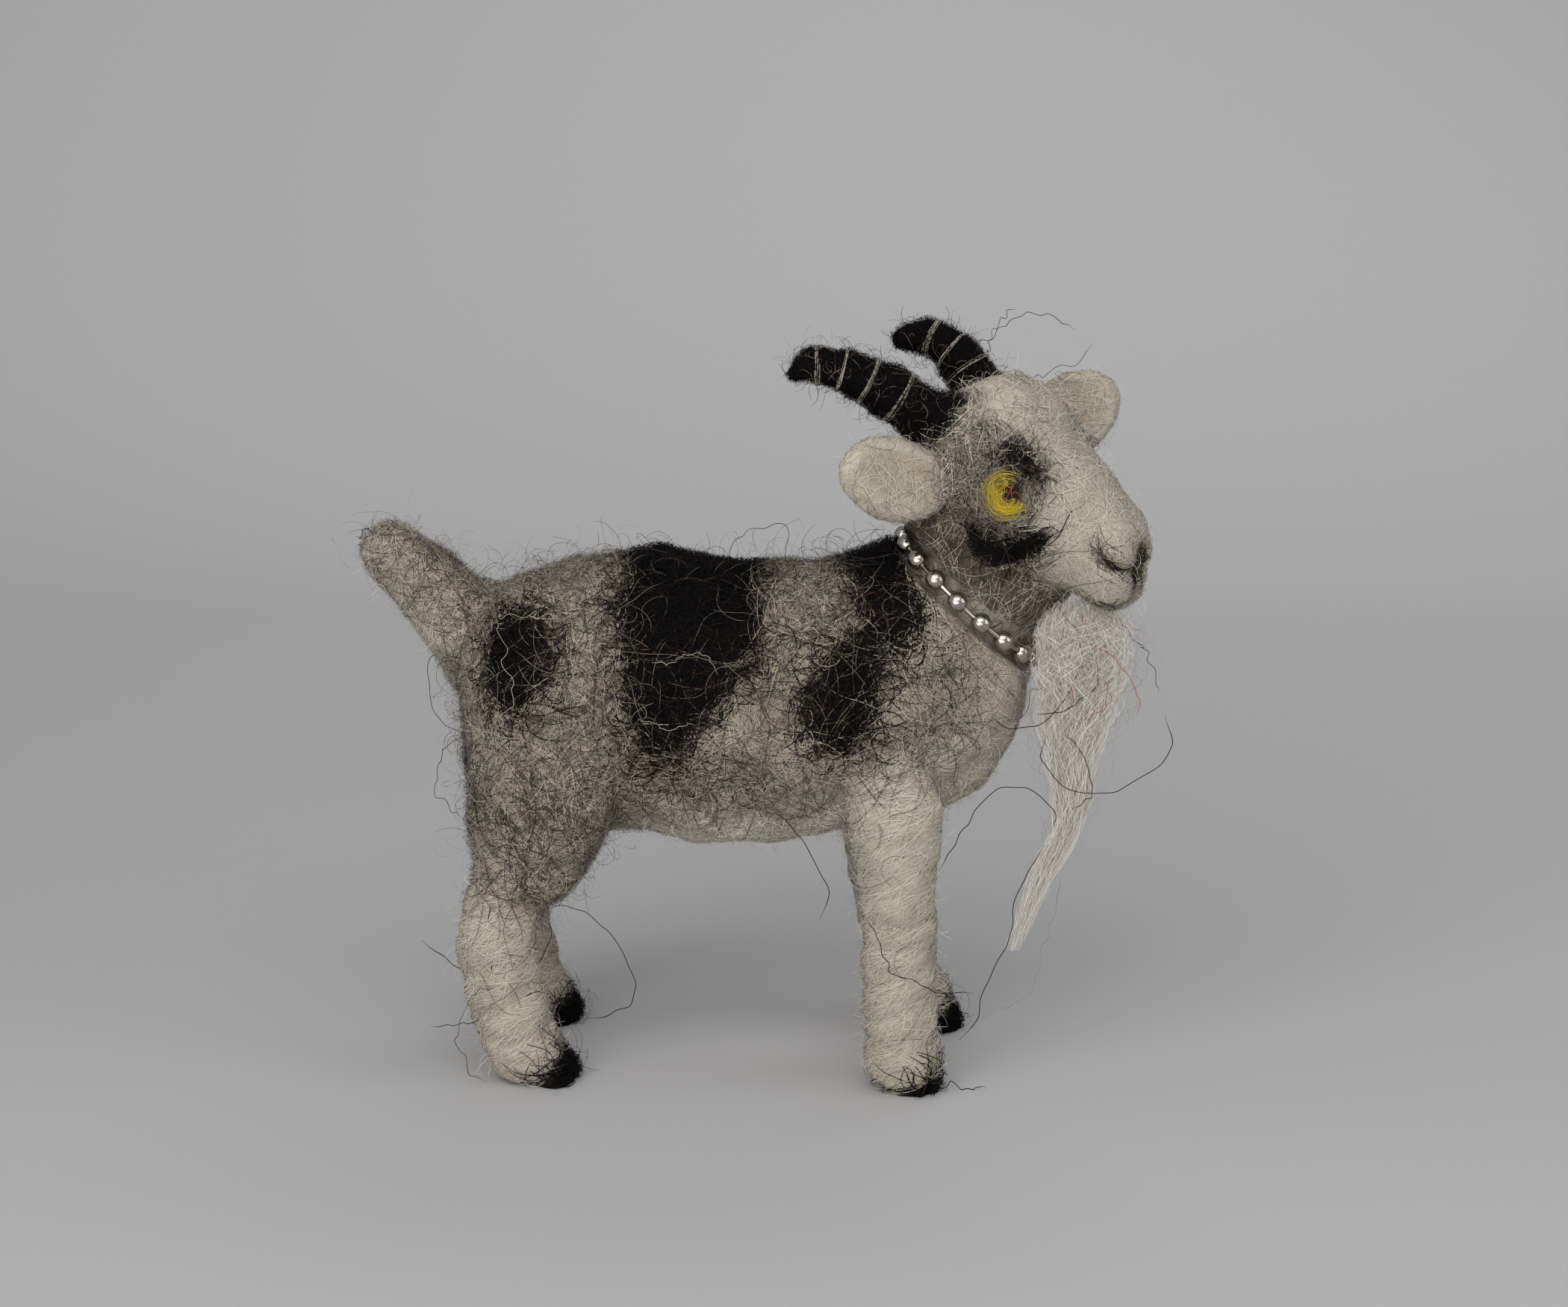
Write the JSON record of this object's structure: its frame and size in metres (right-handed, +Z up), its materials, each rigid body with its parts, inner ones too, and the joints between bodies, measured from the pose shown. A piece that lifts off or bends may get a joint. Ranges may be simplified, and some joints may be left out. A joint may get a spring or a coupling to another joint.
{
  "type": "felted animal figurine",
  "caption": "Small standing goat of needle-felted wool with black horns, wrapped legs, a loose wool beard that swings and a ball-chain collar that turns round its neck.",
  "frame": {"origin": "on the floor, at the centre of the goat's outline seen from above", "axes": "+X the way the goat walks (its head is turned towards -Y), +Y its left side, +Z up"},
  "size_m": [0.0933, 0.0318, 0.0875],
  "materials": {
    "cream_wool": "matte felted wool",
    "grey_wool": "salt-and-pepper felted wool",
    "grey_brown_wool": "felted wool",
    "black_wool": "felted wool",
    "pale_thread": "fine thread",
    "yellow_wool": "wool strands",
    "dark_brown_wool": "wool strands",
    "beige_wool": "felted wool",
    "white_wisp": "loose combed wool",
    "armature_wire": "plain wire",
    "collar_metal": "bright nickel plate"
  },
  "bodies": {
    "goat": {"torso": "cream_wool", "grey_coat": "grey_wool", "saddle_patch": "black_wool", "withers_patch": "black_wool", "rump_patch_near": "black_wool", "rump_patch_far": "black_wool", "shoulder_patch_near": "black_wool", "shoulder_patch_far": "black_wool", "front_leg_near": "cream_wool", "front_leg_far": "cream_wool", "hind_leg_near": "cream_wool", "hind_leg_far": "cream_wool", "haunch_near": "grey_wool", "haunch_far": "grey_wool", "hoof_front_near": "black_wool", "hoof_front_far": "black_wool", "hoof_hind_near": "black_wool", "hoof_hind_far": "black_wool", "tail": "grey_wool", "neck": "cream_wool", "neck_mantle": "grey_brown_wool", "head": "cream_wool", "brow_patch_near": "black_wool", "brow_patch_far": "black_wool", "cheek_patch_near": "black_wool", "cheek_patch_far": "black_wool", "eye_patch_near": "grey_wool", "eye_patch_far": "grey_wool", "iris_near": "yellow_wool", "iris_far": "yellow_wool", "pupil_near": "dark_brown_wool", "pupil_far": "dark_brown_wool", "nose": "black_wool", "mouth_line": "black_wool", "horn_thread_near": "pale_thread", "horn_thread_far": "pale_thread", "horn_near": "black_wool", "horn_far": "black_wool", "ear_near": "cream_wool", "ear_far": "cream_wool", "ear_lining_near": "beige_wool", "ear_lining_far": "beige_wool", "spine_wire": "armature_wire", "front_leg_wire": "armature_wire", "hind_leg_wire": "armature_wire", "horn_wire": "armature_wire"},
    "collar": {"collar_balls": "collar_metal", "collar_links": "collar_metal", "collar_clasp": "collar_metal"},
    "beard": {"beard": "white_wisp"}
  },
  "joints": [
    {"name": "collar_turn", "type": "hinge", "parent": "goat", "child": "collar", "pos_m": [0.02505, 0, 0.05635], "axis": [0.6665, 0, 0.7455], "continuous": true},
    {"name": "beard_swing", "type": "hinge", "parent": "goat", "child": "beard", "pos_m": [0.03745, -0.0065, 0.0568], "axis": [0, -1, 0], "range_deg": [-6, 30]}
  ]
}
